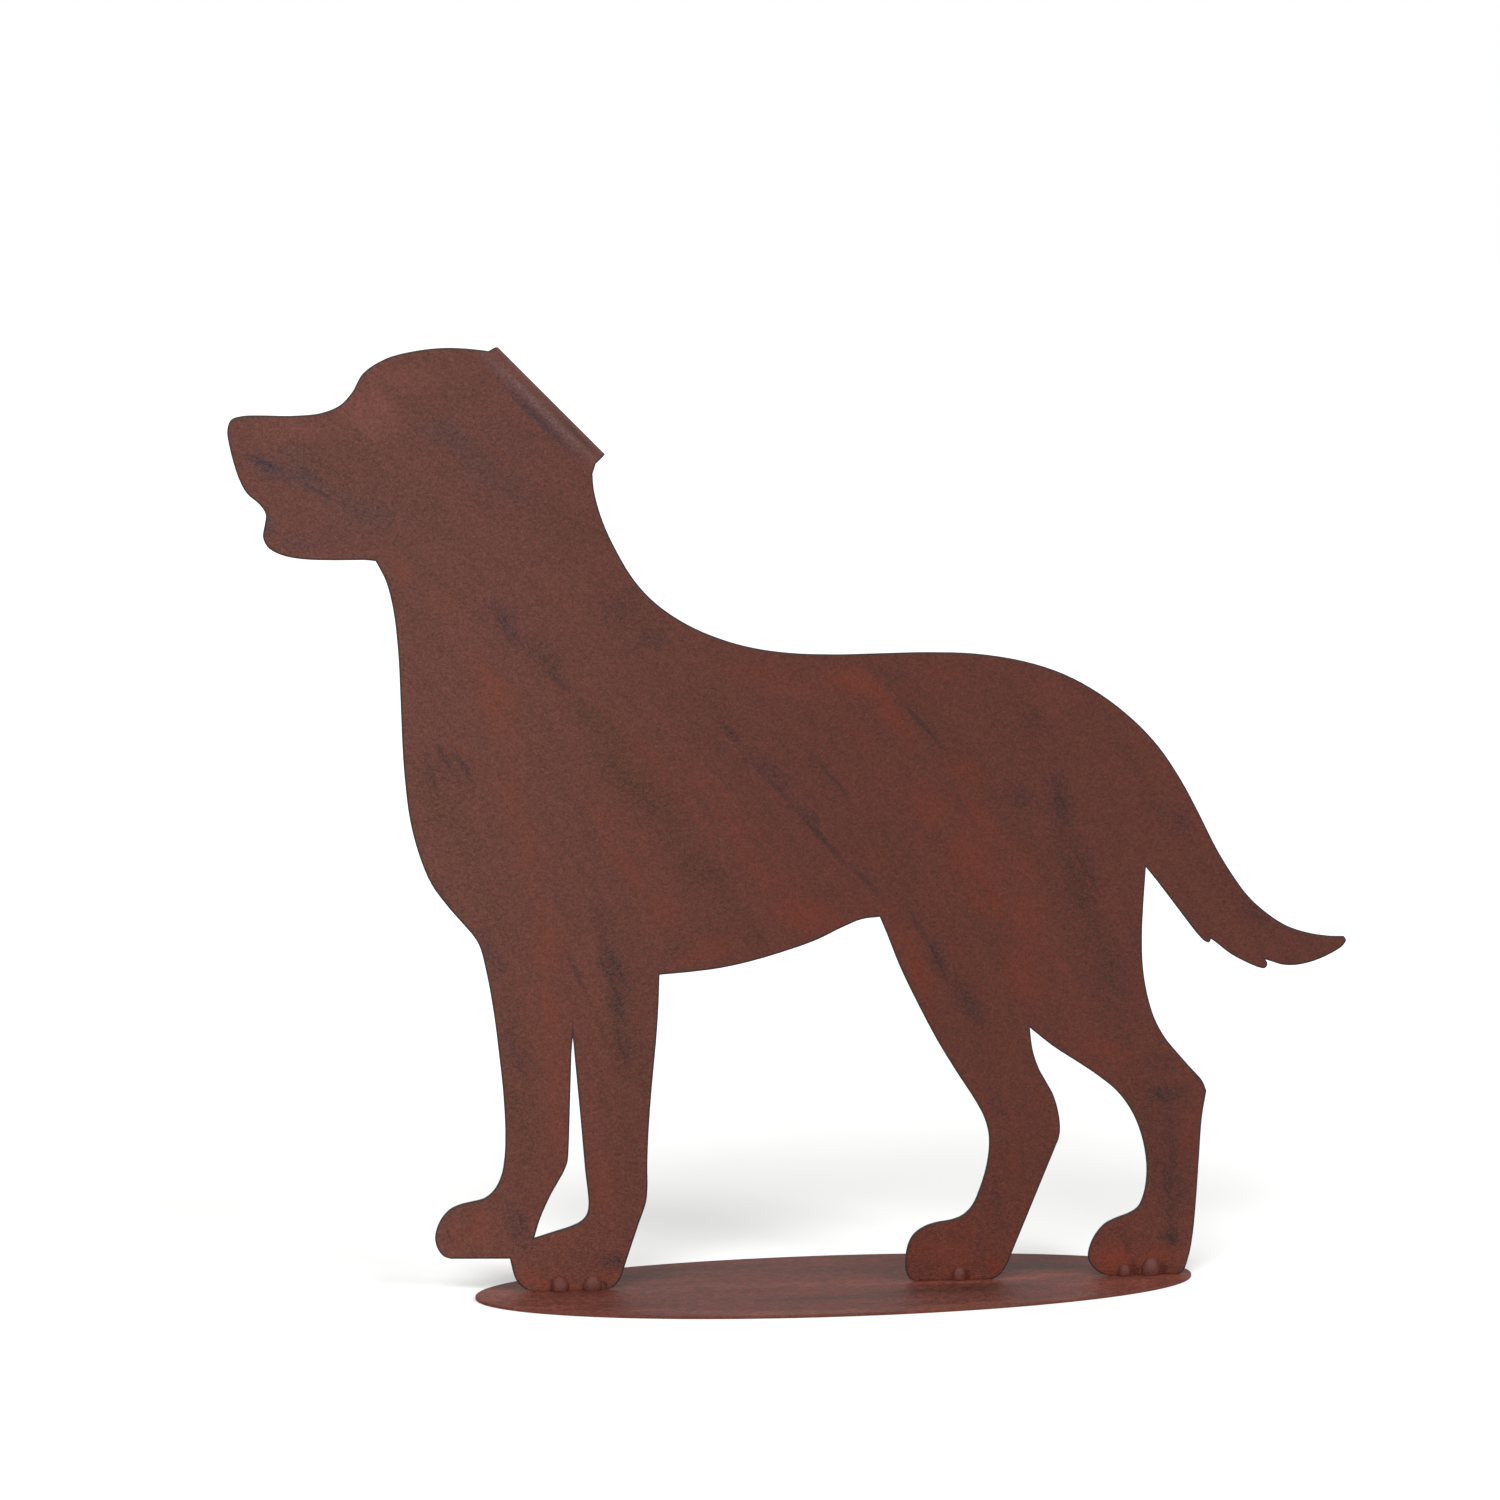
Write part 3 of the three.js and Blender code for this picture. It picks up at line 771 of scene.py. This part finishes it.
# Runs a tree on an empty carrier mesh and gives its result as a plain mesh object
def runTree(name, tree, values):
    carrier = bpy.data.objects.new(name, bpy.data.meshes.new(name))
    bpy.context.collection.objects.link(carrier)
    modifier = carrier.modifiers.new("build", "NODES")
    modifier.node_group = tree
    for item in tree.interface.items_tree:
        if item.in_out == "INPUT" and item.name in values:
            modifier[item.identifier] = values[item.name]
    evaluated = carrier.evaluated_get(bpy.context.evaluated_depsgraph_get())
    mesh = bpy.data.meshes.new_from_object(evaluated)
    carrier.modifiers.remove(modifier)
    carrier.data = mesh
    mesh.name = name
    return carrier


# A bead: a lumpy drop in the corner between sheet and plate, running out softly into the sheet
def beadTree(material):
    tree, nodes, given = newGeometryTree("weld bead", {
        "Half Width": "NodeSocketFloat",
        "Reach": "NodeSocketFloat",
        "Height": "NodeSocketFloat",
        "Place": "NodeSocketVector",
        "Seed": "NodeSocketFloat",
    })
    ball = nodes.add("GeometryNodeMeshUVSphere", None, {
        "Segments": weldBeads["segments"], "Rings": weldBeads["rings"], "Radius": 1.0,
    })
    where = nodes.add("GeometryNodeInputPosition")
    lumps = nodes.add("ShaderNodeTexNoise", {"noise_dimensions": "4D"}, {
        "Vector": where,
        "W": given["Seed"],
        "Scale": 1 / weldBeads["lumpSize"],
        "Detail": weldBeads["lumpDetail"],
    })
    x, y, z = (nodes.axis(where, i) for i in range(3))
    swell = 1 - weldBeads["lumpDepth"] * lumps.ramp(*weldBeads["lumpRamp"])
    front = (0 - y).orMore(0.0) ** weldBeads["slope"]
    root = weldBeads["root"]
    sideways = x * swell * given["Half Width"]
    outwards = y.orMore(0.0) * root - front * swell * given["Reach"]
    sunk = weldBeads["sunk"]
    level = z * swell + sunk
    upwards = level.orMore(0.0) * given["Height"] / (1 + sunk) - (0 - level).orMore(0.0) * root
    moved = nodes.add("GeometryNodeSetPosition", None, {
        "Geometry": ball,
        "Position": nodes.vector("ADD", nodes.combine(sideways, outwards, upwards), given["Place"]),
    })
    smooth = nodes.add("GeometryNodeSetShadeSmooth", None, {"Geometry": moved})
    real = nodes.add("GeometryNodeRealizeInstances", None, {"Geometry": smooth})
    done = nodes.add("GeometryNodeSetMaterial", None, {"Geometry": real, "Material": material})
    nodes.add("NodeGroupOutput", None, {0: done})
    return tree


def buildBeads(material):
    tree = beadTree(material)
    beads = []
    for index, node in enumerate(weldBeads["nodes"]):
        lo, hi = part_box(node)
        bead = runTree(node + "_bead", tree, {
            "Half Width": (hi.x - lo.x) / 2,
            "Reach": (hi.y - lo.y) * weldBeads["reach"],
            "Height": hi.z - lo.z,
            "Place": Vector(((lo.x + hi.x) / 2, hi.y, lo.z)),
            "Seed": weldBeads["seedStep"] * index,
        })
        beads.append(bead)
    return beads


spatter = {
    "count": 9,
    "spread": 10 * mm,
    "gap": 0.12,  # between the bead's front and the nearest droplets, in the spread
    "smallest": 0.25 * mm,
    "largest": 0.6 * mm,
    "flatness": 0.6,
}


# Droplets of weld metal scattered on the plate before a bead
def spatterTree(material):
    tree, nodes, given = newGeometryTree("weld spatter", {
        "Count": "NodeSocketInt",
        "Spread": "NodeSocketFloat",
        "Smallest": "NodeSocketFloat",
        "Largest": "NodeSocketFloat",
        "Place": "NodeSocketVector",
        "Seed": "NodeSocketInt",
    })
    points = nodes.add("GeometryNodePoints", None, {"Count": given["Count"]})
    vectorSettings = {"data_type": "FLOAT_VECTOR"}
    scatter = nodes.add("FunctionNodeRandomValue", vectorSettings, {
        0: (-1.0, -1.0, 0.0), 1: (1.0, -spatter["gap"], 0.0), "Seed": given["Seed"],
    })
    offset = nodes.scaled(scatter, given["Spread"])
    spots = nodes.add("GeometryNodeSetPosition", None, {
        "Geometry": points, "Position": nodes.vector("ADD", offset, given["Place"]),
    })
    drop = nodes.add("GeometryNodeMeshIcoSphere", None, {"Radius": 1.0, "Subdivisions": 2})
    radius = nodes.add("FunctionNodeRandomValue", {"data_type": "FLOAT"}, {
        2: given["Smallest"], 3: given["Largest"], "Seed": given["Seed"],
    }, 1)
    size = nodes.combine(radius, radius, radius * spatter["flatness"])
    drops = nodes.add("GeometryNodeInstanceOnPoints", None, {
        "Points": spots, "Instance": drop, "Scale": size,
    })
    real = nodes.add("GeometryNodeRealizeInstances", None, {"Geometry": drops})
    smooth = nodes.add("GeometryNodeSetShadeSmooth", None, {"Geometry": real})
    done = nodes.add("GeometryNodeSetMaterial", None, {"Geometry": smooth, "Material": material})
    nodes.add("NodeGroupOutput", None, {0: done})
    return tree


def buildSpatter(material):
    tree = spatterTree(material)
    pieces = []
    for index, node in enumerate(weldBeads["nodes"]):
        lo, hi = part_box(node)
        pieces.append(runTree(node + "_spatter", tree, {
            "Count": spatter["count"],
            "Spread": spatter["spread"],
            "Smallest": spatter["smallest"],
            "Largest": spatter["largest"],
            "Place": Vector(((lo.x + hi.x) / 2, lo.y, lo.z)),
            "Seed": index + 1,
        }))
    return pieces


def weldRust():
    look = weldBeads
    material, nodes = newMaterial("weld_rust")
    place = nodes.scaled(nodes.objectPlace(), 1 / mm)
    blotches = nodes.noise(place, look["blotch"], *noiseKinds["medium"]).ramp(*look["blotchRamp"])
    height, grain, hollows = leather(nodes, place, look["grain"])
    darker, paler = look["colors"]
    color = nodes.mix(paint(darker), paint(paler), blotches)
    color = nodes.mix(color, tint("hollow"), hollows * look["hollows"], "MULTIPLY")
    color = shaded(nodes, color, grain)
    plainRough, grainRough = look["roughness"]
    finishSurface(nodes, color, plainRough + grainRough * (grain - 1), height, look["grainDepth"])
    return material


# Floor, lights and camera

studio = {
    "floorRadius": 30.0,
    "floorSides": 96,
    "floorRoughness": 0.9,
    "floorSpecular": 0.1,
    "cloudSize": 0.4,
    "floorColor": (204, 204, 203),
    "floorCloud": (207, 207, 206),
    "sky": 1.0,
    # Far soft lights: degrees round from the front towards the tail, degrees up, width, strength
    "lights": {
        "key": (48, 30, 22, 2.2),
        "fill": (-25, 35, 40, 3.5),
    },
}

camera = {
    "place": (-0.264395, -2.16800, 0.54189),
    "tilt": 0.124294,  # radians below the horizon
    "pan": 0.11050882,  # radians towards the tail
    "lens": 108,
    "sensor": 36,
    "sees": 100,  # metres
}


def buildFloor():
    material, nodes = newMaterial("studio_floor")
    place = nodes.objectPlace()
    cloud = nodes.noise(place, studio["cloudSize"], *noiseKinds["cloudy"])
    pale = rgb(*studio["floorColor"])
    color = nodes.mix(pale, rgb(*studio["floorCloud"]), cloud)
    shader = nodes.add("ShaderNodeBsdfPrincipled", None, {
        "Base Color": color,
        "Roughness": studio["floorRoughness"],
        "Specular IOR Level": studio["floorSpecular"],
    })
    nodes.add("ShaderNodeOutputMaterial", None, {"Surface": shader})
    bm = bmesh.new()
    sides, radius = studio["floorSides"], studio["floorRadius"]
    bmesh.ops.create_circle(bm, cap_ends=True, segments=sides, radius=radius)
    floor = finishMesh("floor", bm, material)


def addLight(name, around, up, width, strength):
    data = bpy.data.lights.new(name, "SUN")
    data.angle = math.radians(width)
    data.energy = strength
    lamp = bpy.data.objects.new(name, data)
    lamp.rotation_euler = (math.radians(90 - up), 0, math.radians(around))
    bpy.context.collection.objects.link(lamp)


def buildStudio():
    buildFloor()
    for name, values in studio["lights"].items():
        addLight(name, *values)
    world = bpy.data.worlds.new("studio")
    world.use_nodes = True
    nodes = Nodes(world.node_tree)
    sky = nodes.add("ShaderNodeBackground", None, {"Color": (1, 1, 1, 1), "Strength": studio["sky"]})
    nodes.add("ShaderNodeOutputWorld", None, {"Surface": sky})
    bpy.context.scene.world = world
    bpy.context.scene.view_settings.view_transform = "Standard"


def buildCamera():
    data = bpy.data.cameras.new("camera")
    data.lens = camera["lens"]
    data.sensor_width = camera["sensor"]
    data.clip_end = camera["sees"]
    view = bpy.data.objects.new("camera", data)
    view.location = camera["place"]
    view.rotation_euler = (math.pi / 2 - camera["tilt"], 0, -camera["pan"])
    bpy.context.collection.objects.link(view)
    bpy.context.scene.camera = view


def main():
    buildCamera()
    buildStudio()
    print("camera, floor and lights made")

    dog = buildDog(dogRust())
    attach(dog, "root")
    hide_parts(dogSheet["node"])
    print("dog made,", len(dog.data.polygons), "faces")

    oval = buildPlate(plateRust())
    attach(oval, "root")
    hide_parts(plate["node"])
    print("plate made,", len(oval.data.polygons), "faces")

    weldMetal = weldRust()
    for node, bead in zip(weldBeads["nodes"], buildBeads(weldMetal)):
        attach(bead, "root")
        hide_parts(node)
    for drops in buildSpatter(weldMetal):
        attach(drops, "root")
    print("weld beads and spatter made")


main()
